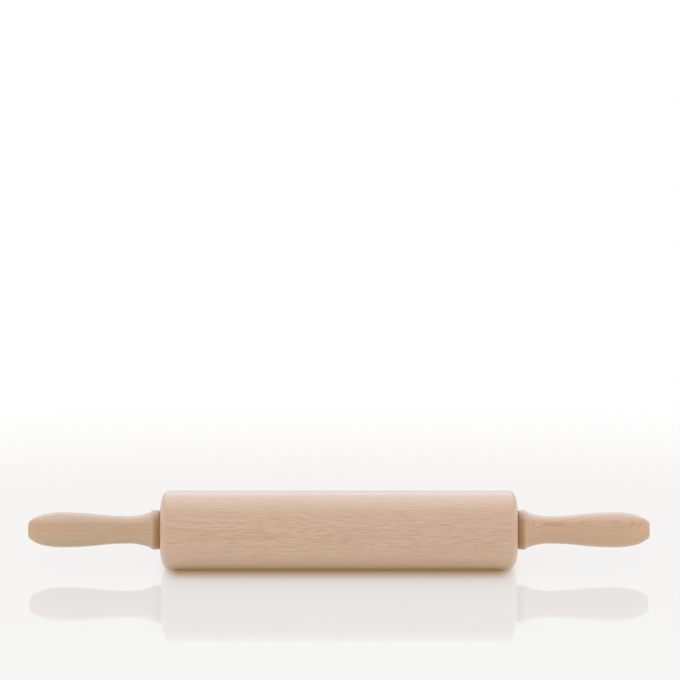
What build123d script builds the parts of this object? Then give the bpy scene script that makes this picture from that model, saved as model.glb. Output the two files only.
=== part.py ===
from build123d import *

import math
import os

# A pastry rolling pin: a straight beech roller that turns on a steel axle between two turned handles.
# Millimetres. The origin is where the middle of the roller touches the worktop, +X runs along the pin
# from the left handle to the right one, and +Z is up.

# Roller, with end faces that fall back gently towards a rounded rim
roller_length = 250.0
roller_diameter = 55.0
dome_width = 11.0
dome_drop = 3.7
rim_rounding = 4.2

# Axle, a plain rod that passes through the roller and ends inside both handles
axle_diameter = 8.0
axle_engagement = 44.0
axle_chamfer = 1.0
bore_clearance = 1.0

# Flanged bearing bushes, pressed into the ends of the roller
bush_length = 18.0
bush_diameter = 12.0
bush_chamfer = 0.6
flange_diameter = 20.0
flange_thickness = 2.0
running_clearance = 0.05

# Thrust washers and thin lock nuts, which hold the roller between them
end_play = 0.1
washer_diameter = 14.0
washer_thickness = 0.5
washer_clearance = 0.1
nut_width = 13.0
nut_thickness = 4.0
nut_face_share = 0.95
nut_chamfer_angle = 30

# Threaded sleeves, set in the handles
insert_diameter = 12.0
insert_length = 20.0
insert_chamfer = 0.8
slot_width = 2.0
slot_depth = 2.5

# Handles, turned to a bead beside the roller, a waisted neck, a swelling grip and a rounded end
handle_gap = 0.4
handle_length = 92.2
bead_diameter = 27.8
bead_width = 6.2
bead_crest_share = 0.7
bead_face_fall = 0.5
bead_back_fall = 0.6
bead_edge_rounding = 0.4
step_depth = 0.7
step_width = 0.4
neck_diameter = 19.2
grip_diameter = 24.6
end_diameter = 11.2
end_rounding = 0.6
neck_share = 0.237
grip_turn_share = 0.465
grip_share = 0.738
shoulder_share = 0.873
shoulder_width_share = 0.83
socket_clearance = 0.2
nut_pocket_clearance = 0.3
socket_spare = 2.0
drill_point_angle = 118

# Places along the pin, measured outward from the middle of the roller
roller_end = roller_length / 2
washer_seat = roller_end + end_play
nut_seat = washer_seat + washer_thickness
insert_seat = nut_seat + nut_thickness
handle_face = roller_end + handle_gap
axle_end = handle_face + axle_engagement
axis_height = roller_diameter / 2
turning_axis = Axis((0, 0, axis_height), (1, 0, 0))

# The two ends, each with the direction in which it points along X
ends = {"left": -1, "right": 1}


def section_plane(side, distance=0):
    """Lengthwise section at one end: its X points outward along the pin, its Y up from the turning axis."""
    origin = (side * distance, 0, axis_height)
    return Plane(origin=origin, x_dir=(side, 0, 0), z_dir=(0, -side, 0))


def face_plane(side, distance):
    """Plane square to the pin that faces outward at one end."""
    origin = (side * distance, 0, axis_height)
    return Plane(origin=origin, x_dir=(0, side, 0), z_dir=(side, 0, 0))


def outward(side):
    """Direction out along the pin at one end."""
    return Axis((0, 0, 0), (side, 0, 0))


def save(piece, name):
    """Label a finished piece and write it to its own file."""
    piece.part.label = name
    export_step(piece.part, f"parts/{name}.step")


def make_roller():
    """Straight cylinder with domed, softly rounded ends, bored through and recessed for the bushes."""
    radius = roller_diameter / 2
    with BuildPart() as roller:
        with BuildSketch(section_plane(1)):
            with BuildLine():
                Line((0, 0), (roller_end, 0))
                face = Line((roller_end, 0), (roller_end, radius - dome_width))
                dome = TangentArc(face @ 1, (roller_end - dome_drop, radius), tangent=face % 1)
                Line(dome @ 1, (0, radius))
                Line((0, radius), (0, 0))
            make_face()
            fillet(vertices().group_by(Axis.Y)[-1].sort_by(Axis.X)[-1], rim_rounding)
        revolve(axis=turning_axis)
        mirror(about=Plane.YZ)
        with Locations(face_plane(1, roller_end)):
            Hole(axle_diameter / 2 + bore_clearance)
        with Locations(*[face_plane(side, roller_end) for side in ends.values()]):
            CounterBoreHole(bush_diameter / 2, flange_diameter / 2, flange_thickness, depth=bush_length)
    return roller


def make_axle():
    """Plain rod with chamfered ends."""
    with BuildPart() as axle:
        with BuildSketch(face_plane(1, 0)):
            Circle(axle_diameter / 2)
        extrude(amount=axle_end, both=True)
        chamfer(axle.edges().filter_by(GeomType.CIRCLE), axle_chamfer)
    return axle


def make_bush(side):
    """Sleeve with a flange that lies flush with the roller's end face."""
    with BuildPart() as bush:
        with BuildSketch(face_plane(side, roller_end)):
            Circle(bush_diameter / 2)
        extrude(amount=-bush_length)
        chamfer(bush.edges().group_by(outward(side))[0], bush_chamfer)
        with BuildSketch(face_plane(side, roller_end)):
            Circle(flange_diameter / 2)
        extrude(amount=-flange_thickness)
        with Locations(face_plane(side, roller_end)):
            Hole(axle_diameter / 2 + running_clearance)
    return bush


def make_washer(side):
    """Thin hard washer between the bush and the lock nut."""
    with BuildPart() as washer:
        with BuildSketch(face_plane(side, washer_seat)):
            Circle(washer_diameter / 2)
            Circle(axle_diameter / 2 + washer_clearance, mode=Mode.SUBTRACT)
        extrude(amount=washer_thickness)
    return washer


def make_nut(side):
    """Thin hexagon nut with both faces chamfered."""
    corner_radius = nut_width / 2 / math.cos(math.pi / 6)
    face_radius = nut_width / 2 * nut_face_share
    fall = (corner_radius - face_radius) * math.tan(math.radians(nut_chamfer_angle))
    with BuildPart() as nut:
        with BuildSketch(face_plane(side, nut_seat)):
            RegularPolygon(nut_width / 2, side_count=6, major_radius=False)
            Circle(axle_diameter / 2, mode=Mode.SUBTRACT)
        extrude(amount=nut_thickness)
        with BuildSketch(section_plane(side, nut_seat)):
            with BuildLine():
                Polyline(
                    (0, 0),
                    (0, face_radius),
                    (fall, corner_radius),
                    (nut_thickness - fall, corner_radius),
                    (nut_thickness, face_radius),
                    (nut_thickness, 0),
                    close=True,
                )
            make_face()
        revolve(axis=turning_axis, mode=Mode.INTERSECT)
    return nut


def make_insert(side):
    """Threaded sleeve with a screwdriver slot across its mouth."""
    with BuildPart() as insert:
        with BuildSketch(face_plane(side, insert_seat)):
            Circle(insert_diameter / 2)
            Circle(axle_diameter / 2, mode=Mode.SUBTRACT)
        extrude(amount=insert_length)
        chamfer(insert.edges().group_by(outward(side))[-1].sort_by(SortBy.RADIUS)[-1], insert_chamfer)
        with BuildSketch(face_plane(side, insert_seat)):
            Rectangle(slot_width, insert_diameter)
        extrude(amount=slot_depth, mode=Mode.SUBTRACT)
    return insert


def make_handle(side):
    """Turned handle, with a stepped socket for the nut, the threaded sleeve and the end of the axle."""
    crest = (bead_width * bead_crest_share, bead_diameter / 2)
    face_edge = (0, bead_diameter / 2 - bead_face_fall)
    back_edge = (bead_width, bead_diameter / 2 - bead_back_fall)
    step_end = (bead_width + step_width, bead_diameter / 2 - bead_back_fall - step_depth)
    neck = Vector(handle_length * neck_share, neck_diameter / 2)
    grip = Vector(handle_length * grip_share, grip_diameter / 2)
    grip_turn = neck + (grip - neck) * grip_turn_share
    end_corner = (handle_length, end_diameter / 2)
    shoulder_radius = (end_diameter + (grip_diameter - end_diameter) * shoulder_width_share) / 2
    shoulder = (handle_length * shoulder_share, shoulder_radius)
    pocket_radius = nut_width / 2 / math.cos(math.pi / 6) + nut_pocket_clearance
    pocket_floor = insert_seat - handle_face
    insert_floor = pocket_floor + insert_length
    socket_radius = axle_diameter / 2 + socket_clearance
    socket_floor = axle_engagement + socket_spare
    point_length = socket_radius / math.tan(math.radians(drill_point_angle / 2))
    with BuildPart() as handle:
        with BuildSketch(section_plane(side, handle_face)):
            with BuildLine():
                Line((0, 0), face_edge)
                TangentArc(crest, face_edge, tangent=(-1, 0))
                TangentArc(crest, back_edge, tangent=(1, 0))
                Line(back_edge, step_end)
                TangentArc(neck, step_end, tangent=(-1, 0))
                waist = TangentArc(neck, grip_turn, tangent=(1, 0))
                TangentArc(grip_turn, grip, tangent=waist % 1)
                flank = TangentArc(grip, shoulder, tangent=(1, 0))
                TangentArc(shoulder, end_corner, tangent=flank % 1)
                Line(end_corner, (handle_length, 0))
                Line((handle_length, 0), (0, 0))
            make_face()
            fillet(vertices().filter_by(lambda corner: corner.Y > 0).sort_by(Axis.X)[0], bead_edge_rounding)
            fillet(vertices().filter_by(lambda corner: corner.Y > 0).sort_by(Axis.X)[-1], end_rounding)
        revolve(axis=turning_axis)
        with BuildSketch(section_plane(side, handle_face)):
            with BuildLine():
                Polyline(
                    (0, 0),
                    (0, pocket_radius),
                    (pocket_floor, pocket_radius),
                    (pocket_floor, insert_diameter / 2),
                    (insert_floor, insert_diameter / 2),
                    (insert_floor, socket_radius),
                    (socket_floor, socket_radius),
                    (socket_floor + point_length, 0),
                    close=True,
                )
            make_face()
        revolve(axis=turning_axis, mode=Mode.SUBTRACT)
    return handle


os.makedirs("parts", exist_ok=True)
save(make_roller(), "roller")
save(make_axle(), "axle")
for end, side in ends.items():
    save(make_handle(side), f"{end}_handle")
    save(make_bush(side), f"{end}_bush")
    save(make_washer(side), f"{end}_washer")
    save(make_nut(side), f"{end}_lock_nut")
    save(make_insert(side), f"{end}_threaded_insert")
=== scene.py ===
"""Pastry rolling pin: a turned beech roller that spins on a steel axle between two turned handles.

It lies on a polished white sheet in a white studio.
"""

import math

import bmesh
import bpy
from bpy.props import FloatProperty, FloatVectorProperty, PointerProperty
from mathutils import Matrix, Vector


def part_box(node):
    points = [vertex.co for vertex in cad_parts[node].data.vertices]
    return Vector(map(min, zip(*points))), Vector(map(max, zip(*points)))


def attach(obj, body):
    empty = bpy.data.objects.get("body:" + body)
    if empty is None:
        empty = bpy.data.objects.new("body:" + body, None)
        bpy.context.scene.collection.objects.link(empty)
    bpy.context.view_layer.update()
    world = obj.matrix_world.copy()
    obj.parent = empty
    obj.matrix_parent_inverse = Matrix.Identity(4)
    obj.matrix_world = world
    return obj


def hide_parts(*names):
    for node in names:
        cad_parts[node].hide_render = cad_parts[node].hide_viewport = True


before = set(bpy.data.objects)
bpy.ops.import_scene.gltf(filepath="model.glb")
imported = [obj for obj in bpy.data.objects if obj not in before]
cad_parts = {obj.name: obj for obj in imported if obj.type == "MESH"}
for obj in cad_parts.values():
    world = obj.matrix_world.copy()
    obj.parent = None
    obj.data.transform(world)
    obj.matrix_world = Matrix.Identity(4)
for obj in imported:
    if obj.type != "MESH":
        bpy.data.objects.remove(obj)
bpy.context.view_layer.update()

bl_info = {
    "name": "Rolling Pin",
    "version": (1, 0, 0),
    "blender": (4, 5, 0),
    "location": "3D View > Sidebar > Rolling Pin",
    "description": "Beech rolling pin with turned handles, its steel axle and a white stage",
    "category": "Add Mesh",
}

MM = 0.001
BAKE_MAP = "OFBake"

# The two ends, each with the direction in which it points along X
ENDS = {"left": -1, "right": 1}

# Sockets of a Mix node set to colours
FACTOR, FIRST, SECOND, MIXED = 0, 6, 7, 2

# Height of the turning axis above the sheet
AXIS_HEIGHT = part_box("roller")[1].z / 2

# Outline of a handle, as shares of the sizes that it follows
BEAD_CREST_SHARE = 0.7
NECK_SHARE = 0.237
GRIP_TURN_SHARE = 0.465
GRIP_SHARE = 0.738
SHOULDER_SHARE = 0.873
SHOULDER_WIDTH_SHARE = 0.83
INNER_FACE_SHARE = 0.8

# Softened corners of a handle: where its face meets the bead, and where its end turns flat
FACE_SOFTENING = 0.35 * MM
END_SOFTENING = 0.5 * MM

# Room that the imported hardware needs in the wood: for a bush's flange, round a lock nut and past the axle's end
FLANGE_RECESS = 2.0 * MM
NUT_CLEARANCE = 0.3 * MM
SOCKET_SPARE = 2.0 * MM
DRILL_POINT = math.radians(118)

# Axle: where its thread begins before the lock nut, and the thread's pitch and depth
THREAD_LEAD = 1.5 * MM
THREAD_PITCH = 1.25 * MM
THREAD_DEPTH = 0.55 * MM
AXLE_CHAMFER = 1.0 * MM
ROUNDING_ERROR = 1e-9

# How finely the turned pieces are divided: round the axis, beside the roller's rim and along one turn of thread
ROLLER_FACETS = 192
HANDLE_FACETS = 128
ROD_FACETS = 40
RIM_ZONE = 12 * MM
STEPS_PER_TURN = 6
SHARP_EDGE = math.radians(32)

# Share of the unwrapped map that an end face and a hidden inner wall get beside an outer wall of their length
END_MAP_SHARE = 0.6
INNER_MAP_SHARE = 0.12

# Grain of each turned piece: where its pith line runs beside the turning axis, as Y and Z in millimetres, how
# it tilts about them, in radians, how wide, dark and wandering its rings are, and how strong its ray dashes
GRAINS = {
    "roller": {
        "pith": (-80.0, 14.0),
        "tilt": (0.012, 0.02),
        "ring_width": 2.1,
        "ring_dark": 0.2,
        "wander": 3.5,
        "dashes": 0.4,
    },
    "left_handle": {
        "pith": (8.0, 60.0),
        "tilt": (0.01, 0.02),
        "ring_width": 1.6,
        "ring_dark": 0.8,
        "wander": 1.6,
        "dashes": 0.4,
    },
    "right_handle": {
        "pith": (-17.5, 17.0),
        "tilt": (0.0, 0.0),
        "ring_width": 1.45,
        "ring_dark": 0.6,
        "wander": 1.2,
        "dashes": 0.26,
    },
}

# Share of a ring's wander that the short ripple adds, and how dark the faintest ring is beside the darkest
RIPPLE_SHARE = 0.15
FAINTEST_RING = 0.3

# Painted shade on the bead beside the roller's end, together with the bead's darker cut wood: how strong it is,
# and how far from the handle's face it is full and ends, in millimetres
BEAD_SHADE = 0.8
BEAD_SHADE_FULL = 2.2
BEAD_SHADE_END = 5.6

# How much the fine grain of metal and nylon varies their roughness
ROUGHNESS_SPREAD = 0.16

# Half the width of the floor, and how far inside the roller's ends its strip of painted warm shade and bounce
# begins to fade
FLOOR_HALF = 5.0
STRIP_INSET = 14 * MM


def linear(hex_colour):
    """Linear colour of an sRGB hex value."""
    channels = [int(hex_colour[place : place + 2], 16) / 255 for place in (1, 3, 5)]
    return tuple(c / 12.92 if c <= 0.04045 else ((c + 0.055) / 1.055) ** 2.4 for c in channels)


def length(name, millimetres, description):
    """Settings of a length that a user may change."""
    return {
        "name": name,
        "description": description,
        "default": millimetres * MM,
        "min": 0.0,
        "unit": "LENGTH",
        "precision": 5,
    }


def colour(name, hex_colour, description):
    """Settings of a colour that a user may change."""
    return {
        "name": name,
        "description": description,
        "default": linear(hex_colour),
        "min": 0.0,
        "max": 1.0,
        "size": 3,
        "subtype": "COLOR",
    }


def from_frame(node, axis):
    """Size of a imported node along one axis, in millimetres."""
    low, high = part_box(node)
    return (high[axis] - low[axis]) / MM


class RollerSizes(bpy.types.PropertyGroup):
    """Sizes of the roller"""

    length: FloatProperty(**length("Length", from_frame("roller", 0), "Length between the end faces"))
    diameter: FloatProperty(**length("Diameter", from_frame("roller", 2), "Diameter of the straight part"))
    dome_width: FloatProperty(**length("Dome width", 11.0, "Width of the domed ring round each end face"))
    dome_drop: FloatProperty(**length("Dome drop", 3.7, "How far the dome falls back at the rim"))
    rim_rounding: FloatProperty(**length("Rim rounding", 4.2, "Radius of the rounded rim"))
    bore: FloatProperty(**length("Bore", 10.0, "Diameter of the bore round the axle"))
    bush_seat: FloatProperty(**length("Bush seat", 12.0, "Diameter of the seats for the bushes"))


class HandleSizes(bpy.types.PropertyGroup):
    """Sizes of the turned handles"""

    length: FloatProperty(**length("Length", from_frame("left_handle", 0), "Length of a handle"))
    bead_diameter: FloatProperty(**length("Bead", from_frame("left_handle", 2), "Diameter of the bead"))
    bead_width: FloatProperty(**length("Bead width", 6.2, "Width of the bead beside the roller"))
    bead_face_fall: FloatProperty(**length("Bead face fall", 0.5, "Fall of the bead towards the roller"))
    bead_back_fall: FloatProperty(**length("Bead back fall", 0.6, "Fall of the bead towards the neck"))
    step_depth: FloatProperty(**length("Step depth", 0.7, "Depth of the step behind the bead"))
    step_width: FloatProperty(**length("Step width", 0.4, "Width of the step behind the bead"))
    neck_diameter: FloatProperty(**length("Neck", 19.2, "Diameter of the waist behind the bead"))
    grip_diameter: FloatProperty(**length("Grip", 24.6, "Largest diameter of the grip"))
    end_diameter: FloatProperty(**length("End", 11.2, "Diameter at which the rounded end turns flat"))
    socket: FloatProperty(**length("Socket", 8.4, "Diameter of the drilled socket round the axle's end"))


class BeechColours(bpy.types.PropertyGroup):
    """Colours of the plain beech"""

    early_wood: FloatVectorProperty(**colour("Early wood", "#CFB094", "Pale wood between the ring lines"))
    blush: FloatVectorProperty(**colour("Blush", "#D0AE97", "Pinker zones of steamed beech"))
    left_handle: FloatVectorProperty(
        **colour("Left handle", "#C6A687", "Wood of the left handle, yellowed by hands")
    )
    right_handle: FloatVectorProperty(
        **colour("Right handle", "#CCA787", "Wood of the right handle, a little rosier")
    )
    late_wood: FloatVectorProperty(**colour("Late wood", "#A98260", "Fine line at the end of each growth ring"))
    ray_fleck: FloatVectorProperty(**colour("Ray flecks", "#9F7757", "Short dashes of the wood's rays"))
    end_grain: FloatVectorProperty(
        **colour("End grain", "#B98D66", "Wood where the turning cuts across the fibres")
    )
    # Bead colour: painted shade where the bead meets the roller's end, with the bead's darker cut wood
    bead_shade: FloatVectorProperty(**colour("Burnish", "#A17338", "Bead, darkened by the tool and by rubbing"))


class HardwareColours(bpy.types.PropertyGroup):
    """Colours of the metal and nylon pieces"""

    ground_steel: FloatVectorProperty(**colour("Ground steel", "#C4C2BE", "Axle"))
    zinc_plate: FloatVectorProperty(
        **colour("Zinc plate", "#C9CCD0", "Washers, lock nuts and threaded sleeves")
    )
    nylon: FloatVectorProperty(**colour("Nylon", "#38332E", "Bearing bushes"))


class StageSettings(bpy.types.PropertyGroup):
    """Camera, floor and light"""

    distance: FloatProperty(
        name="Distance", description="From the camera to the pin's axis", default=2.5, unit="LENGTH"
    )
    elevation: FloatProperty(
        name="Elevation",
        description="Height of the camera above the pin, as an angle",
        default=math.radians(17.0),
        subtype="ANGLE",
    )
    aim_above: FloatProperty(
        name="Aim above",
        description="How far above the pin the camera is aimed, as an angle",
        default=math.radians(3.054),
        subtype="ANGLE",
    )
    aside: FloatProperty(
        name="Aside", description="How far the camera stands to the right", default=0.75 * MM, unit="LENGTH"
    )
    lens: FloatProperty(
        name="Lens", description="Focal length in millimetres", default=188.4, subtype="DISTANCE_CAMERA"
    )
    floor: FloatVectorProperty(**colour("Floor", "#F8FBFE", "White body of the sheet under the pin"))
    # Painted glow of the sheet, as if lit from below: it shines for every ray and lights the wood
    painted_backlight: FloatVectorProperty(**colour("Backlight", "#F7FEFF", "Light that comes up through the sheet"))
    mirrored: FloatVectorProperty(**colour("Mirrored", "#FAE4DC", "Tint of what the sheet mirrors"))
    # Painted shade on the sheet beside the roller, warmed as if by light that the wood throws back
    painted_bounce_shade: FloatVectorProperty(
        **colour("Bounced", "#CFB686", "Light that the wood throws on the sheet beside it")
    )
    walls: FloatProperty(name="Walls", description="Light from the walls", default=0.8, min=0.0, max=1.0)
    ceiling: FloatProperty(name="Ceiling", description="Light from the ceiling", default=0.64, min=0.0, max=1.0)
    front_power: FloatProperty(
        name="Front", description="Power of the front softbox", default=9.0, unit="POWER"
    )
    back_power: FloatProperty(
        name="Back", description="Power of the back softbox", default=32.0, unit="POWER"
    )
    side_power: FloatProperty(
        name="Sides", description="Power of each side softbox", default=5.0, unit="POWER"
    )
    cool: FloatVectorProperty(**colour("Cool", "#E3EDFF", "Colour of the back softbox"))


class PinSettings(bpy.types.PropertyGroup):
    """All settings of the rolling pin"""

    roller: PointerProperty(type=RollerSizes)
    handle: PointerProperty(type=HandleSizes)
    beech: PointerProperty(type=BeechColours)
    hardware: PointerProperty(type=HardwareColours)
    stage: PointerProperty(type=StageSettings)


def add_node(tree, kind, settings=None, sockets=None, out=0):
    """Add a node, set its properties, link or fill its sockets, and return one of its outputs."""
    made = tree.nodes.new(kind)
    for name, value in (settings or {}).items():
        if name == "stops":
            stops = made.color_ramp.elements
            stops[0].position, stops[0].color = value[0]
            stops[1].position, stops[1].color = value[-1]
            for place, shade in value[1:-1]:
                stops.new(place).color = shade
        else:
            setattr(made, name, value)
    for name, value in (sockets or {}).items():
        if isinstance(value, bpy.types.NodeSocket):
            tree.links.new(value, made.inputs[name])
        else:
            made.inputs[name].default_value = value
    return made.outputs[out] if len(made.outputs) else None


def new_material(name):
    """Empty material and its node tree."""
    material = bpy.data.materials.new(name)
    material.use_nodes = True
    material.node_tree.nodes.clear()
    return material, material.node_tree


def grey(value):
    """Opaque grey for a colour ramp."""
    return (value, value, value, 1.0)


def opaque(rgb):
    """Colour with full alpha."""
    return (*rgb, 1.0)


def grain_noise(tree, mm):
    """Noises of the wood at several sizes, each stretched along the piece."""
    # Real beech: wander of the fibres over a few centimetres, ripple over one, tone over a hand's width.
    # Fibres are 0.02 mm wide, so bundles of them are drawn to show, 0.6 mm wide and as streaks 1.3 mm wide.
    # Each pattern has its sizes in millimetres, along the fibres first, then its detail and its roughness.
    patterns = {
        "wander": ((85.0, 17.0, 17.0), 2.0, 0.5),
        "ripple": ((12.0, 5.0, 5.0), 2.0, 0.55),
        "tone": ((240.0, 28.0, 28.0), 2.0, 0.5),
        "streak": ((60.0, 1.3, 1.3), 3.0, 0.6),
        "fibre": ((11.0, 0.6, 0.6), 3.0, 0.65),
    }
    noise = {}
    for pattern, (sizes, detail, roughness) in patterns.items():
        stretched = add_node(tree, "ShaderNodeVectorMath", {"operation": "DIVIDE"}, {0: mm, 1: sizes})
        noise[pattern] = add_node(
            tree,
            "ShaderNodeTexNoise",
            {},
            {"Vector": stretched, "Scale": 1.0, "Detail": detail, "Roughness": roughness},
        )
    return noise


def ring_lines(tree, noise, depth, ring_width, ring_dark, wander):
    """Share of late wood: the dark line that ends each growth ring, swayed a little by the fibres."""
    swayed = add_node(
        tree, "ShaderNodeMath", {"operation": "MULTIPLY_ADD"}, {0: noise["wander"], 1: wander, 2: depth}
    )
    waved = add_node(
        tree,
        "ShaderNodeMath",
        {"operation": "MULTIPLY_ADD"},
        {0: noise["ripple"], 1: wander * RIPPLE_SHARE, 2: swayed},
    )
    rings = add_node(tree, "ShaderNodeMath", {"operation": "DIVIDE"}, {0: waved, 1: ring_width})
    within_ring = add_node(tree, "ShaderNodeMath", {"operation": "FRACT"}, {0: rings})
    shape = [(0.0, 0.15), (0.45, 0.0), (0.8, 0.8), (0.88, 1.0), (1.0, 0.15)]
    stops = [(place, grey(dark)) for place, dark in shape]
    line = add_node(tree, "ShaderNodeValToRGB", {"stops": stops}, {0: within_ring})

    # Each ring has a darkness of its own
    number = add_node(tree, "ShaderNodeMath", {"operation": "FLOOR"}, {0: rings})
    chance = add_node(tree, "ShaderNodeTexWhiteNoise", {"noise_dimensions": "1D"}, {"W": number}, out="Value")
    darkness = add_node(
        tree,
        "ShaderNodeMath",
        {"operation": "MULTIPLY_ADD"},
        {0: chance, 1: ring_dark * (1 - FAINTEST_RING), 2: ring_dark * FAINTEST_RING},
    )
    return add_node(tree, "ShaderNodeMath", {"operation": "MULTIPLY"}, {0: line, 1: darkness})


def ray_dashes(tree, noise, from_pith, depth, towards, facing, dashes):
    """Share of ray flecks: long thin cells of a stretched noise, which waver with the fibres."""
    parts = tree.nodes.new("ShaderNodeSeparateXYZ")
    tree.links.new(from_pith, parts.inputs[0])

    # The ripple of the fibres moves a dash by up to 1.2 mm in depth and 1.5 mm sideways
    wavered = {
        axis: add_node(
            tree, "ShaderNodeMath", {"operation": "MULTIPLY_ADD"}, {0: noise["ripple"], 1: most, 2: start}
        )
        for axis, most, start in (("Y", 1.2, depth), ("Z", 1.5, parts.outputs["Z"]))
    }
    place = add_node(tree, "ShaderNodeCombineXYZ", {}, {"X": parts.outputs["X"], **wavered})

    # Rays are 1 to 3 mm long and 0.3 mm wide, drawn as dashes about 10 mm long and 0.5 mm wide to show
    cells = add_node(tree, "ShaderNodeVectorMath", {"operation": "DIVIDE"}, {0: place, 1: (10.0, 0.5, 0.5)})
    field = add_node(
        tree, "ShaderNodeTexNoise", {}, {"Vector": cells, "Scale": 1.0, "Detail": 3.0, "Roughness": 0.55}
    )
    dash = add_node(
        tree,
        "ShaderNodeMapRange",
        {},
        {"Value": field, "From Min": 0.45, "From Max": 0.63, "To Min": 0.0, "To Max": dashes},
    )

    # The dashes show best where the surface faces the pith or turns its back on it
    aligned = add_node(
        tree, "ShaderNodeVectorMath", {"operation": "DOT_PRODUCT"}, {0: facing, 1: towards}, out="Value"
    )
    squared = add_node(tree, "ShaderNodeMath", {"operation": "MULTIPLY"}, {0: aligned, 1: aligned})
    shown = add_node(
        tree, "ShaderNodeMapRange", {}, {"Value": squared, "From Min": 0.2, "From Max": 0.9, "To Min": 0.45}
    )
    return add_node(tree, "ShaderNodeMath", {"operation": "MULTIPLY"}, {0: dash, 1: shown})


def turned_beech(name, wood, pale, pink, pith, tilt, ring_width, ring_dark, wander, dashes, bead_from=None):
    """Plain beech, turned on a lathe and sanded: pale and satin, with faint ring lines and short ray dashes.

    The rings lie round a pith line beside the piece, so the turning cuts them as straight lines on its flanks
    and as long arches where it faces the pith. Lengths are in millimetres, from the middle of the turning axis.
    """
    material, tree = new_material(name)
    place = add_node(tree, "ShaderNodeTexCoord", out="Object")
    facing = add_node(tree, "ShaderNodeTexCoord", out="Normal")
    from_axis = add_node(
        tree, "ShaderNodeVectorMath", {"operation": "SUBTRACT"}, {0: place, 1: (0.0, 0.0, AXIS_HEIGHT)}
    )
    mm = add_node(tree, "ShaderNodeVectorMath", {"operation": "SCALE"}, {0: from_axis, "Scale": 1 / MM})
    noise = grain_noise(tree, mm)

    # Place beside the pith line, distance from it and direction towards it
    from_pith = add_node(
        tree,
        "ShaderNodeMapping",
        {},
        {"Vector": mm, "Location": (0.0, -pith[0], -pith[1]), "Rotation": (0.0, *tilt)},
    )
    across = add_node(
        tree, "ShaderNodeVectorMath", {"operation": "MULTIPLY"}, {0: from_pith, 1: (0.0, 1.0, 1.0)}
    )
    depth = add_node(tree, "ShaderNodeVectorMath", {"operation": "LENGTH"}, {0: across}, out="Value")
    towards = add_node(tree, "ShaderNodeVectorMath", {"operation": "NORMALIZE"}, {0: across})
    late = ring_lines(tree, noise, depth, ring_width, ring_dark, wander)
    ray = ray_dashes(tree, noise, from_pith, depth, towards, facing, dashes)

    # Colour, from the pale wood to its lines and dashes
    toned = add_node(
        tree,
        "ShaderNodeMapRange",
        {"interpolation_type": "SMOOTHSTEP"},
        {"Value": noise["tone"], "From Min": 0.36, "From Max": 0.64},
    )
    shade = add_node(
        tree,
        "ShaderNodeMix",
        {"data_type": "RGBA"},
        {FACTOR: toned, FIRST: opaque(pale), SECOND: opaque(pink)},
        out=MIXED,
    )
    for factor, tint in ((late, wood.late_wood), (ray, wood.ray_fleck)):
        shade = add_node(
            tree,
            "ShaderNodeMix",
            {"data_type": "RGBA"},
            {FACTOR: factor, FIRST: shade, SECOND: opaque(tint)},
            out=MIXED,
        )

    # Fibres and streaks lighten and darken the whole by up to a tenth
    for pattern, strength in (("streak", 0.21), ("fibre", 0.14)):
        gain = add_node(
            tree,
            "ShaderNodeMath",
            {"operation": "MULTIPLY_ADD"},
            {0: noise[pattern], 1: strength, 2: 1 - strength / 2},
        )
        shade = add_node(tree, "ShaderNodeVectorMath", {"operation": "SCALE"}, {0: shade, "Scale": gain})

    # Where the turning cuts across the fibres the wood drinks light and looks darker and browner
    facing_parts = tree.nodes.new("ShaderNodeSeparateXYZ")
    tree.links.new(facing, facing_parts.inputs[0])
    along = add_node(tree, "ShaderNodeMath", {"operation": "ABSOLUTE"}, {0: facing_parts.outputs["X"]})
    across_fibres = add_node(
        tree,
        "ShaderNodeMapRange",
        {"interpolation_type": "SMOOTHSTEP"},
        {"Value": along, "From Min": 0.88, "From Max": 1.0, "To Min": 0.0, "To Max": 0.4},
    )
    shade = add_node(
        tree,
        "ShaderNodeMix",
        {"data_type": "RGBA"},
        {FACTOR: across_fibres, FIRST: shade, SECOND: opaque(wood.end_grain)},
        out=MIXED,
    )

    # Close to the bead's face a painted shade stands for the shadow between the bead and the roller's end,
    # together with the bead's darker cut wood
    if bead_from is not None:
        distance_out = add_node(tree, "ShaderNodeSeparateXYZ", {}, {0: mm}, out="X")
        outward = add_node(tree, "ShaderNodeMath", {"operation": "ABSOLUTE"}, {0: distance_out})
        bead_shading = add_node(
            tree,
            "ShaderNodeMapRange",
            {"interpolation_type": "SMOOTHSTEP"},
            {
                "Value": outward,
                "From Min": bead_from + BEAD_SHADE_END,
                "From Max": bead_from + BEAD_SHADE_FULL,
                "To Min": 0.0,
                "To Max": BEAD_SHADE,
            },
        )
        shade = add_node(
            tree,
            "ShaderNodeMix",
            {"data_type": "RGBA"},
            {FACTOR: bead_shading, FIRST: shade, SECOND: opaque(wood.bead_shade)},
            out=MIXED,
        )

    # Sanded wood is satin, with roughness 0.38 to 0.52, and its fibres stand a few hundredths of a millimetre
    roughness = add_node(
        tree, "ShaderNodeMath", {"operation": "MULTIPLY_ADD"}, {0: noise["fibre"], 1: 0.14, 2: 0.38}
    )
    relief = add_node(
        tree, "ShaderNodeMath", {"operation": "MULTIPLY_ADD"}, {0: ray, 1: -0.6, 2: noise["fibre"]}
    )
    bump = add_node(
        tree, "ShaderNodeBump", {}, {"Strength": 0.35, "Distance": 0.08 * MM, "Height": relief}
    )
    surface = add_node(
        tree,
        "ShaderNodeBsdfPrincipled",
        {},
        {
            "Base Color": shade,
            "Roughness": roughness,
            "IOR": 1.5,
            "Normal": bump,
            "Coat Weight": 0.6,
            "Coat Roughness": 0.28,
            "Coat IOR": 1.45,
        },
    )
    add_node(tree, "ShaderNodeOutputMaterial", {}, {"Surface": surface})
    return material


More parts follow.
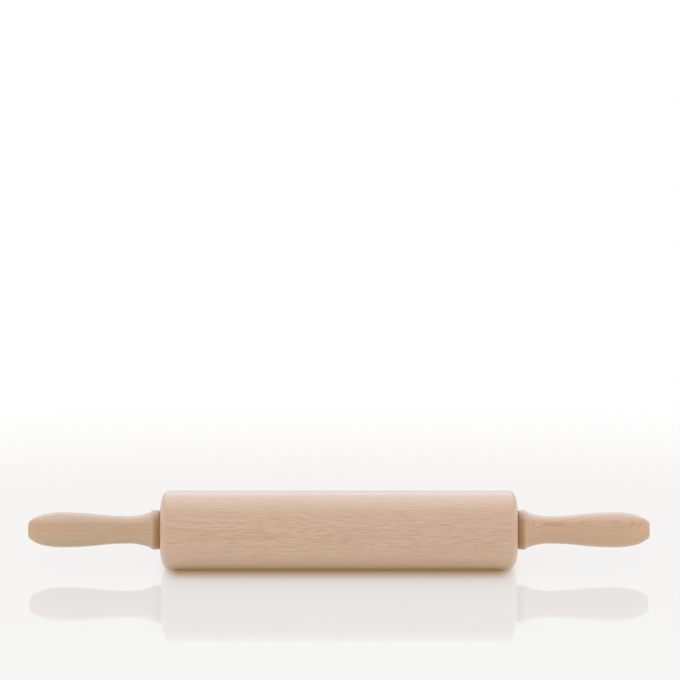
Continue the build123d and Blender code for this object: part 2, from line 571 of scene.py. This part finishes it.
def finished_metal(name, base, roughness, grain_sizes, contrast):
    """Bare or plated steel: mirror-like but for a fine grain that blurs and streaks its reflections."""
    material, tree = new_material(name)
    place = add_node(tree, "ShaderNodeTexCoord", out="Object")
    mm = add_node(tree, "ShaderNodeVectorMath", {"operation": "SCALE"}, {0: place, "Scale": 1 / MM})
    stretched = add_node(tree, "ShaderNodeVectorMath", {"operation": "DIVIDE"}, {0: mm, 1: grain_sizes})
    grain = add_node(
        tree, "ShaderNodeTexNoise", {}, {"Vector": stretched, "Scale": 1.0, "Detail": 4.0, "Roughness": 0.6}
    )
    gain = add_node(
        tree, "ShaderNodeMath", {"operation": "MULTIPLY_ADD"}, {0: grain, 1: contrast, 2: 1 - contrast / 2}
    )
    shade = add_node(
        tree, "ShaderNodeVectorMath", {"operation": "SCALE"}, {0: tuple(base), "Scale": gain}
    )
    matt = add_node(
        tree,
        "ShaderNodeMath",
        {"operation": "MULTIPLY_ADD"},
        {0: grain, 1: ROUGHNESS_SPREAD, 2: roughness - ROUGHNESS_SPREAD / 2},
    )
    bump = add_node(tree, "ShaderNodeBump", {}, {"Strength": 0.2, "Distance": 0.01 * MM, "Height": grain})
    surface = add_node(
        tree,
        "ShaderNodeBsdfPrincipled",
        {},
        {"Base Color": shade, "Metallic": 1.0, "Roughness": matt, "Normal": bump},
    )
    add_node(tree, "ShaderNodeOutputMaterial", {}, {"Surface": surface})
    return material


def moulded_nylon(name, base, roughness, contrast):
    """Moulded nylon: dark and satin, with the faint flow marks and orange peel of the mould."""
    material, tree = new_material(name)
    place = add_node(tree, "ShaderNodeTexCoord", out="Object")
    mm = add_node(tree, "ShaderNodeVectorMath", {"operation": "SCALE"}, {0: place, "Scale": 1 / MM})

    # Orange peel, with hills about 0.7 mm apart
    peel = add_node(
        tree, "ShaderNodeTexNoise", {}, {"Vector": mm, "Scale": 1.4, "Detail": 3.0, "Roughness": 0.5}
    )
    gain = add_node(
        tree, "ShaderNodeMath", {"operation": "MULTIPLY_ADD"}, {0: peel, 1: contrast, 2: 1 - contrast / 2}
    )
    shade = add_node(tree, "ShaderNodeVectorMath", {"operation": "SCALE"}, {0: tuple(base), "Scale": gain})
    matt = add_node(
        tree,
        "ShaderNodeMath",
        {"operation": "MULTIPLY_ADD"},
        {0: peel, 1: ROUGHNESS_SPREAD, 2: roughness - ROUGHNESS_SPREAD / 2},
    )
    bump = add_node(tree, "ShaderNodeBump", {}, {"Strength": 0.2, "Distance": 0.02 * MM, "Height": peel})
    surface = add_node(
        tree,
        "ShaderNodeBsdfPrincipled",
        {},
        {"Base Color": shade, "Roughness": matt, "IOR": 1.53, "Normal": bump},
    )
    add_node(tree, "ShaderNodeOutputMaterial", {}, {"Surface": surface})
    return material


def white_for_eye(tree):
    """One for rays from the camera, from mirrors and through glass, and nought for light on a surface."""
    path = tree.nodes.new("ShaderNodeLightPath")
    seen = path.outputs["Is Camera Ray"]
    for ray in ("Is Glossy Ray", "Is Transmission Ray"):
        seen = add_node(tree, "ShaderNodeMath", {"operation": "MAXIMUM"}, {0: seen, 1: path.outputs[ray]})
    return seen


def polished_acrylic(name, body, painted_backlight, painted_bounce_shade, mirrored, strip_half):
    """Polished white acrylic sheet: a plain white body under a clear skin that mirrors the pin faintly.

    A painted glow, as of light from below, fills it, least beside the roller, so the roller's shadow stays and
    the handles' are faint.
    Far behind and beside the pin it turns into the white of the studio, for the camera and reflections alone.
    """
    material, tree = new_material(name)
    place = add_node(tree, "ShaderNodeTexCoord", out="Object")

    # Haze of the polish, which varies the white by less than a hundredth
    haze = add_node(
        tree, "ShaderNodeTexNoise", {}, {"Vector": place, "Scale": 3.0, "Detail": 2.0, "Roughness": 0.5}
    )
    gain = add_node(tree, "ShaderNodeMath", {"operation": "MULTIPLY_ADD"}, {0: haze, 1: 0.012, 2: 0.994})

    # Distance on the sheet from a line along X, given its place along Y, half its length and how much X counts
    away = {}
    for line, (centre, half, beside) in {
        "roller": (0.0, strip_half, 2.6),
        "foreground": (-0.25, 0.0, 0.55),
    }.items():
        distance = place
        for operation, by in (
            ("SUBTRACT", (0.0, centre, 0.0)),
            ("ABSOLUTE", None),
            ("SUBTRACT", (half, 0.0, 0.0)),
            ("MAXIMUM", (0.0, 0.0, 0.0)),
            ("MULTIPLY", (beside, 1.0, 0.0)),
        ):
            sockets = {0: distance} if by is None else {0: distance, 1: by}
            distance = add_node(tree, "ShaderNodeVectorMath", {"operation": operation}, sockets)
        away[line] = add_node(
            tree, "ShaderNodeVectorMath", {"operation": "LENGTH"}, {0: distance}, out="Value"
        )

    # Shares of the painted warm shade and bounce, of the painted glow from below and of the studio's white, from
    # near to far
    share = {}
    for purpose, (line, near, far, first, last) in {
        "painted_bounce_shade": ("roller", 4 * MM, 35 * MM, 1.0, 0.0),
        "painted_fill": ("roller", 0.0, 55 * MM, 0.3, 0.82),
        "whitened": ("foreground", 0.4, 0.73, 0.0, 1.0),
    }.items():
        share[purpose] = add_node(
            tree,
            "ShaderNodeMapRange",
            {"interpolation_type": "SMOOTHSTEP"},
            {"Value": away[line], "From Min": near, "From Max": far, "To Min": first, "To Max": last},
        )

    # Beside the roller both the body and the glow take the painted warm shade
    shades = []
    for plain in (body, painted_backlight):
        tinted = add_node(
            tree,
            "ShaderNodeMix",
            {"data_type": "RGBA"},
            {FACTOR: share["painted_bounce_shade"], FIRST: opaque(plain), SECOND: opaque(painted_bounce_shade)},
            out=MIXED,
        )
        shades.append(
            add_node(tree, "ShaderNodeVectorMath", {"operation": "SCALE"}, {0: tinted, "Scale": gain})
        )
    matt = add_node(tree, "ShaderNodeBsdfDiffuse", {}, {"Color": shades[0]})
    # The glow is painted light: the sheet shines to the eye and on the wood, least beside the roller
    glow = add_node(tree, "ShaderNodeEmission", {}, {"Color": shades[1], "Strength": 1.0})
    painted_fill = add_node(tree, "ShaderNodeMixShader", {}, {0: share["painted_fill"], 1: matt, 2: glow})

    # Both faces of the clear skin mirror, so it sends back a third more than one face would
    grazing = add_node(tree, "ShaderNodeFresnel", {}, {"IOR": 1.49})
    mirror_share = add_node(tree, "ShaderNodeMath", {"operation": "MULTIPLY"}, {0: grazing, 1: 1.33})
    polish = add_node(tree, "ShaderNodeMath", {"operation": "MULTIPLY_ADD"}, {0: haze, 1: 0.02, 2: 0.03})
    mirror = add_node(tree, "ShaderNodeBsdfGlossy", {}, {"Color": opaque(mirrored), "Roughness": polish})
    sheet = add_node(tree, "ShaderNodeMixShader", {}, {0: mirror_share, 1: painted_fill, 2: mirror})

    white = add_node(tree, "ShaderNodeEmission", {}, {"Color": grey(1.0), "Strength": 1.0})
    whiter = add_node(
        tree, "ShaderNodeMath", {"operation": "MULTIPLY"}, {0: share["whitened"], 1: white_for_eye(tree)}
    )
    surface = add_node(tree, "ShaderNodeMixShader", {}, {0: whiter, 1: sheet, 2: white})
    add_node(tree, "ShaderNodeOutputMaterial", {}, {"Surface": surface})
    return material


def tangent_arc(start, heading, end, steps):
    """Points of the arc that leaves start along heading and ends at end, start left out."""
    start, heading, end = Vector(start), Vector(heading).normalized(), Vector(end)
    chord = end - start
    left = Vector((-heading.y, heading.x))
    radius = chord.length_squared / (2 * chord.dot(left))
    centre = start + left * radius
    first = start - centre
    sweep = 2 * heading.angle_signed(chord)
    points = []
    for step in range(1, steps + 1):
        turn = -sweep * step / steps
        turned = Vector(
            (
                first.x * math.cos(turn) - first.y * math.sin(turn),
                first.x * math.sin(turn) + first.y * math.cos(turn),
            )
        )
        points.append(centre + turned)
    return points


def softened(points, corner, reach, steps=5):
    """The same points with one corner replaced by a small smooth bend."""
    at = points[corner]
    before = at + (points[corner - 1] - at).normalized() * reach
    after = at + (points[corner + 1] - at).normalized() * reach
    bend = []
    for step in range(steps + 1):
        t = step / steps
        bend.append(before * (1 - t) ** 2 + at * 2 * t * (1 - t) + after * t**2)
    return points[:corner] + bend + points[corner + 1 :]


def rounded(points, corner, radius, steps=12):
    """The points with one corner rounded to a radius, where one side is straight and the other an arc."""
    at = points[corner]
    back = (points[corner - 1] - at).normalized()
    ahead = (points[corner + 1] - at).normalized()
    reach = radius * math.tan((math.pi - back.angle(ahead)) / 2)
    before = [point for point in points[:corner] if (point - at).length > reach]
    after = [point for point in points[corner + 1 :] if (point - at).length > reach]
    start = at + back * reach
    end = at + (after[0] - at).normalized() * reach
    return before + [start] + tangent_arc(start, at - start, end, steps) + after


def straight(start, end, steps):
    """Points from start to end at even steps, start left out."""
    start, end = Vector(start), Vector(end)
    return [start.lerp(end, step / steps) for step in range(1, steps + 1)]


def turn_on_lathe(name, outline, facets, side, thread=None):
    """Closed skin turned about the pin's axis from stations of (distance out, radius, map share), in metres.

    A station on the axis becomes one point, and a map share is that of the strip which ends at its station.
    thread gives the radius lost to a helical groove at a place and an angle.
    """
    skin = bmesh.new()
    layer = skin.loops.layers.uv.new(BAKE_MAP)
    closed = outline[0][1] > 0
    rows = []
    for out, radius, _ in outline:
        if radius <= 0:
            rows.append([skin.verts.new((side * out, 0.0, AXIS_HEIGHT))])
            continue
        row = []
        for facet in range(facets):
            angle = 2 * math.pi * facet / facets
            local = radius - (thread(out, angle) if thread else 0.0)
            height = AXIS_HEIGHT - local * math.cos(angle)
            row.append(skin.verts.new((side * out, local * math.sin(angle), height)))
        rows.append(row)
    if closed:
        rows.append(rows[0])
        outline = [*outline, outline[0]]

    # Each strip's part of the map's height
    spans = [math.dist(near[:2], far[:2]) * far[2] for near, far in zip(outline, outline[1:])]
    levels = [0.0]
    for span in spans:
        levels.append(levels[-1] + span / sum(spans))

    for near, far, low, high in zip(rows, rows[1:], levels, levels[1:]):
        for facet in range(facets):
            after = (facet + 1) % facets
            if len(near) == 1:
                corners = [(near[0], facet + 0.5, low)]
            else:
                corners = [(near[facet], facet, low), (near[after], facet + 1, low)]
            if len(far) == 1:
                corners.append((far[0], facet + 0.5, high))
            else:
                corners += [(far[after], facet + 1, high), (far[facet], facet, high)]
            face = skin.faces.new([vertex for vertex, _, _ in corners])
            face.smooth = True
            for loop, (_, column, level) in zip(face.loops, corners):
                loop[layer].uv = (column / facets, level)
    bmesh.ops.recalc_face_normals(skin, faces=skin.faces)
    mesh = bpy.data.meshes.new(name)
    skin.to_mesh(mesh)
    skin.free()
    mesh.set_sharp_from_angle(angle=SHARP_EDGE)
    piece = bpy.data.objects.new(name, mesh)
    bpy.context.scene.collection.objects.link(piece)
    return piece


def stations(points, map_share):
    """Stations of one map share."""
    return [(out, radius, map_share) for out, radius in points]


def put_in_place(piece, material, body, node):
    """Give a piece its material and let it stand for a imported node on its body."""
    piece.data.materials.append(material)
    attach(piece, body)
    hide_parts(node)


def repaint(node, material):
    """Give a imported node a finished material."""
    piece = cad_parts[node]
    piece.data.materials.clear()
    piece.data.materials.append(material)


class ROLLINGPIN_OT_roller(bpy.types.Operator):
    """Turn the beech roller, with its domed ends, bore and bush seats"""

    bl_idname = "rolling_pin.roller"
    bl_label = "Turn Roller"

    def execute(self, context):
        sizes = context.scene.rolling_pin.roller
        wood = context.scene.rolling_pin.beech
        half, radius = sizes.length / 2, sizes.diameter / 2
        flat = radius - sizes.dome_width
        rim = (half - sizes.dome_drop, radius)
        flange_radius = from_frame("right_bush", 2) * MM / 2
        flange_floor = half - FLANGE_RECESS
        seat_radius, seat_floor = sizes.bush_seat / 2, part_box("right_bush")[0].x

        # From the middle of the skin out to the rim, down the end face and back along the bore
        outside = straight((0.0, radius), (rim[0] - RIM_ZONE, radius), steps=16)
        outside += straight(outside[-1], rim, steps=8)
        corner = len(outside) - 1
        outside += tangent_arc((half, flat), (0, 1), rim, steps=24)[::-1][1:] + [Vector((half, flat))]
        outside = rounded(outside, corner, sizes.rim_rounding)
        face = straight((half, flat), (half, flange_radius), steps=4)
        inside = [
            (flange_floor, flange_radius),
            (flange_floor, seat_radius),
            (seat_floor, seat_radius),
            (seat_floor, sizes.bore / 2),
        ]
        right = stations([(0.0, radius), *outside], 1.0) + stations(face, END_MAP_SHARE)
        right += stations(inside, INNER_MAP_SHARE)

        # The left half comes back the other way, so each of its strips ends where the right one's began
        ended_by = [right[-1], *right[::-1]]
        left = [(-out, around, strip[2]) for strip, (out, around, _) in zip(ended_by, right[:0:-1])]
        piece = turn_on_lathe("turned_roller", right + left, ROLLER_FACETS, 1)
        material = turned_beech(
            "turned_sanded_beech_roller", wood, wood.early_wood, wood.blush, **GRAINS["roller"]
        )
        put_in_place(piece, material, "roller_and_bushes", "roller")
        return {"FINISHED"}


class ROLLINGPIN_OT_handles(bpy.types.Operator):
    """Turn both beech handles, each with its bead, step, waisted neck, swelling grip, rounded end and socket"""

    bl_idname = "rolling_pin.handles"
    bl_label = "Turn Handles"

    def execute(self, context):
        sizes = context.scene.rolling_pin.handle
        wood = context.scene.rolling_pin.beech
        bead, end = sizes.bead_diameter / 2, sizes.end_diameter / 2
        crest = Vector((sizes.bead_width * BEAD_CREST_SHARE, bead))
        face_edge = Vector((0.0, bead - sizes.bead_face_fall))
        back_edge = Vector((sizes.bead_width, bead - sizes.bead_back_fall))
        step_end = back_edge + Vector((sizes.step_width, -sizes.step_depth))
        neck = Vector((sizes.length * NECK_SHARE, sizes.neck_diameter / 2))
        grip = Vector((sizes.length * GRIP_SHARE, sizes.grip_diameter / 2))
        grip_turn = neck + (grip - neck) * GRIP_TURN_SHARE
        shoulder_radius = end + (sizes.grip_diameter / 2 - end) * SHOULDER_WIDTH_SHARE
        shoulder = Vector((sizes.length * SHOULDER_SHARE, shoulder_radius))
        corner = Vector((sizes.length, end))

        # The skin, from inside the face over bead, step, cove, waist, grip and nose to the flat of the end
        outline = [Vector((0.0, bead * INNER_FACE_SHARE)), face_edge]
        outline += tangent_arc(crest, (-1, 0), face_edge, steps=8)[::-1][1:] + [crest]
        outline += tangent_arc(crest, (1, 0), back_edge, steps=6)
        outline.append(step_end)
        outline += tangent_arc(neck, (-1, 0), step_end, steps=20)[::-1][1:] + [neck]
        outline += tangent_arc(neck, (1, 0), grip_turn, steps=18)
        outline += tangent_arc(grip_turn, outline[-1] - outline[-2], grip, steps=18)
        outline += tangent_arc(grip, (1, 0), shoulder, steps=16)
        outline += tangent_arc(shoulder, outline[-1] - outline[-2], corner, steps=14)
        outline.append(Vector((sizes.length, end / 2)))
        outline = softened(outline, len(outline) - 2, END_SOFTENING)
        outline = softened(outline, 1, FACE_SOFTENING)[1:]

        # The stepped socket, from its drill point back to the face
        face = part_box("right_handle")[0].x
        nut_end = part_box("right_lock_nut")[1].x - face
        sleeve_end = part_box("right_threaded_insert")[1].x - face
        socket_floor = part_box("axle")[1].x - face + SOCKET_SPARE
        socket = sizes.socket / 2
        pocket = from_frame("right_lock_nut", 1) * MM / 2 + NUT_CLEARANCE
        sleeve = from_frame("right_threaded_insert", 2) * MM / 2
        inside = [
            (socket_floor + socket / math.tan(DRILL_POINT / 2), 0.0),
            (socket_floor, socket),
            (sleeve_end, socket),
            (sleeve_end, sleeve),
            (nut_end, sleeve),
            (nut_end, pocket),
            (0.0, pocket),
        ]
        skin = stations(inside, INNER_MAP_SHARE) + stations(outline, 1.0)
        skin.append((sizes.length, 0.0, END_MAP_SHARE))
        skin = [(face + out, around, map_share) for out, around, map_share in skin]
        for name, side in ENDS.items():
            handle = f"{name}_handle"
            piece = turn_on_lathe(f"turned_{handle}", skin, HANDLE_FACETS, side)
            shade = getattr(wood, handle)
            material = turned_beech(
                f"turned_sanded_beech_{handle}", wood, shade, shade, bead_from=face / MM, **GRAINS[handle]
            )
            put_in_place(piece, material, "handles_and_axle", handle)
        return {"FINISHED"}


class ROLLINGPIN_OT_axle(bpy.types.Operator):
    """Cut the steel axle, ground along its length and threaded at both ends"""

    bl_idname = "rolling_pin.axle"
    bl_label = "Cut Axle"

    def execute(self, context):
        radius, half = from_frame("axle", 2) * MM / 2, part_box("axle")[1].x
        thread_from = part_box("right_lock_nut")[0].x - THREAD_LEAD
        thread_to = half - AXLE_CHAMFER

        def groove(out, angle):
            """Radius lost to the thread, which fades in over one turn and stops at the chamfer."""
            if abs(out) > thread_to + ROUNDING_ERROR:
                return 0.0
            reach = min(1.0, max(0.0, (abs(out) - thread_from) / THREAD_PITCH))
            phase = (out / THREAD_PITCH - angle / (2 * math.pi)) % 1.0
            return THREAD_DEPTH * reach * (1 - abs(2 * phase - 1))

        right = [(thread_from * share, radius) for share in (0.25, 0.5, 0.75, 1.0)]
        steps = math.ceil((thread_to - thread_from) / THREAD_PITCH) * STEPS_PER_TURN
        right += [
            (thread_from + (thread_to - thread_from) * step / steps, radius) for step in range(1, steps + 1)
        ]
        right += [(half, radius - AXLE_CHAMFER), (half, radius * 0.4), (half, 0.0)]
        left = [(-out, around) for out, around in right[::-1]]
        skin = stations([*left, (0.0, radius), *right], 1.0)
        piece = turn_on_lathe("threaded_axle", skin, ROD_FACETS, 1, groove)
        steel = context.scene.rolling_pin.hardware.ground_steel

        # Grinding leaves rings 0.05 mm apart round the rod, drawn 0.5 mm apart to show
        material = finished_metal(
            "centreless_ground_steel", steel, roughness=0.26, grain_sizes=(0.5, 6.0, 6.0), contrast=0.16
        )
        put_in_place(piece, material, "handles_and_axle", "axle")
        return {"FINISHED"}


class ROLLINGPIN_OT_hardware(bpy.types.Operator):
    """Plate the washers, lock nuts and threaded sleeves"""

    bl_idname = "rolling_pin.hardware"
    bl_label = "Plate Hardware"

    def execute(self, context):
        zinc = context.scene.rolling_pin.hardware.zinc_plate

        # Bright zinc plate: a milky bloom of patches about 1.5 mm wide over the pressed steel
        material = finished_metal(
            "bright_zinc_plated_steel", zinc, roughness=0.33, grain_sizes=(1.5, 1.5, 1.5), contrast=0.12
        )
        for end in ENDS:
            for node in ("washer", "lock_nut", "threaded_insert"):
                repaint(f"{end}_{node}", material)
        return {"FINISHED"}


class ROLLINGPIN_OT_bushes(bpy.types.Operator):
    """Finish the moulded nylon bearing bushes"""

    bl_idname = "rolling_pin.bushes"
    bl_label = "Finish Bushes"

    def execute(self, context):
        nylon = context.scene.rolling_pin.hardware.nylon
        material = moulded_nylon("moulded_nylon", nylon, roughness=0.48, contrast=0.3)
        for end in ENDS:
            repaint(f"{end}_bush", material)
        return {"FINISHED"}


class ROLLINGPIN_OT_stage(bpy.types.Operator):
    """Set up the white floor, the soft studio light and the camera"""

    bl_idname = "rolling_pin.stage"
    bl_label = "Set Stage"

    def execute(self, context):
        settings = context.scene.rolling_pin.stage
        scene = context.scene
        scene.view_settings.view_transform = "Standard"

        floor_mesh = bpy.data.meshes.new("floor")
        sheet = bmesh.new()
        bmesh.ops.create_grid(sheet, x_segments=8, y_segments=8, size=FLOOR_HALF)
        sheet.to_mesh(floor_mesh)
        sheet.free()
        material = polished_acrylic(
            "polished_white_acrylic",
            settings.floor,
            settings.painted_backlight,
            settings.painted_bounce_shade,
            settings.mirrored,
            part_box("roller")[1].x - STRIP_INSET,
        )
        floor_mesh.materials.append(material)
        floor = bpy.data.objects.new("floor", floor_mesh)
        scene.collection.objects.link(floor)

        # White walls: full white to the eye and in reflections, softer as light and softest from the ceiling
        world = bpy.data.worlds.new("white_studio")
        world.use_nodes = True
        tree = world.node_tree
        tree.nodes.clear()
        direction = add_node(tree, "ShaderNodeTexCoord", out="Generated")
        height = add_node(tree, "ShaderNodeSeparateXYZ", {}, {0: direction}, out="Z")
        strength = add_node(
            tree,
            "ShaderNodeMapRange",
            {},
            {"Value": height, "To Min": settings.walls, "To Max": settings.ceiling},
        )
        walls = add_node(tree, "ShaderNodeBackground", {}, {"Color": grey(1.0), "Strength": strength})
        white = add_node(tree, "ShaderNodeBackground", {}, {"Color": grey(1.0), "Strength": 1.0})
        shown = add_node(tree, "ShaderNodeMixShader", {}, {0: white_for_eye(tree), 1: walls, 2: white})
        add_node(tree, "ShaderNodeOutputWorld", {}, {"Surface": shown})
        scene.world = world

        # The front and side softboxes light the wood, and the back one only lays a sheen on what faces up.
        # Each has its place and size, its power and colour, and whether it lights surfaces or shines in them.
        aim = Vector((0.0, 0.0, AXIS_HEIGHT))
        plain = (1.0, 1.0, 1.0)
        front, back, side = settings.front_power, settings.back_power, settings.side_power
        for name, place, sizes, power, tint, lights, shines in (
            ("front_softbox", (0.0, -1.69, 1.44), (2.2, 1.3), front, plain, True, False),
            ("back_softbox", (0.0, 0.75, 1.24), (2.2, 2.4), back, settings.cool, False, True),
            ("left_softbox", (-1.6, -0.2, 0.3), (1.2, 0.6), side, plain, True, False),
            ("right_softbox", (1.6, -0.2, 0.3), (1.2, 0.6), side, plain, True, False),
        ):
            softbox = bpy.data.lights.new(name, "AREA")
            softbox.shape = "RECTANGLE"
            softbox.size, softbox.size_y = sizes
            softbox.energy = power
            softbox.color = tint
            lamp = bpy.data.objects.new(name, softbox)
            lamp.location = place
            lamp.rotation_euler = (aim - lamp.location).to_track_quat("-Z", "Y").to_euler()
            lamp.visible_glossy = shines
            lamp.visible_diffuse = lights
            scene.collection.objects.link(lamp)
            if shines:
                # The sheet is left out, so that it doesn't mirror the softbox's edge
                spared = bpy.data.collections.new("not_lit_from_behind")
                spared.objects.link(floor)
                spared.collection_objects[0].light_linking.link_state = "EXCLUDE"
                lamp.light_linking.receiver_collection = spared

        camera = bpy.data.cameras.new("camera")
        camera.lens = settings.lens
        camera.sensor_width = 36.0
        camera.clip_start, camera.clip_end = 0.05, 50.0
        holder = bpy.data.objects.new("camera", camera)
        holder.location = (
            settings.aside,
            -settings.distance * math.cos(settings.elevation),
            AXIS_HEIGHT + settings.distance * math.sin(settings.elevation),
        )
        holder.rotation_euler = (math.pi / 2 - settings.elevation + settings.aim_above, 0.0, 0.0)
        scene.collection.objects.link(holder)
        scene.camera = holder
        return {"FINISHED"}


OPERATORS = (
    ROLLINGPIN_OT_stage,
    ROLLINGPIN_OT_roller,
    ROLLINGPIN_OT_handles,
    ROLLINGPIN_OT_axle,
    ROLLINGPIN_OT_hardware,
    ROLLINGPIN_OT_bushes,
)


class ROLLINGPIN_PT_sidebar(bpy.types.Panel):
    """Lists the operators and the settings of the rolling pin"""

    bl_idname = "ROLLINGPIN_PT_sidebar"
    bl_label = "Rolling Pin"
    bl_space_type = "VIEW_3D"
    bl_region_type = "UI"
    bl_category = "Rolling Pin"

    def draw(self, context):
        for operator in OPERATORS:
            self.layout.operator(operator.bl_idname)
        settings = context.scene.rolling_pin
        for group in ("roller", "handle", "beech", "hardware", "stage"):
            box = self.layout.box()
            box.label(text=group.capitalize())
            for name in getattr(settings, group).__annotations__:
                box.prop(getattr(settings, group), name)


CLASSES = (
    RollerSizes,
    HandleSizes,
    BeechColours,
    HardwareColours,
    StageSettings,
    PinSettings,
    *OPERATORS,
    ROLLINGPIN_PT_sidebar,
)


def register():
    for made in CLASSES:
        bpy.utils.register_class(made)
    bpy.types.Scene.rolling_pin = PointerProperty(type=PinSettings)


def unregister():
    del bpy.types.Scene.rolling_pin
    for made in reversed(CLASSES):
        bpy.utils.unregister_class(made)


def main():
    """Build the whole scene."""
    register()
    bpy.ops.rolling_pin.stage()
    bpy.ops.rolling_pin.roller()
    bpy.ops.rolling_pin.handles()
    bpy.ops.rolling_pin.axle()
    bpy.ops.rolling_pin.hardware()
    bpy.ops.rolling_pin.bushes()


if __name__ == "__main__":
    main()
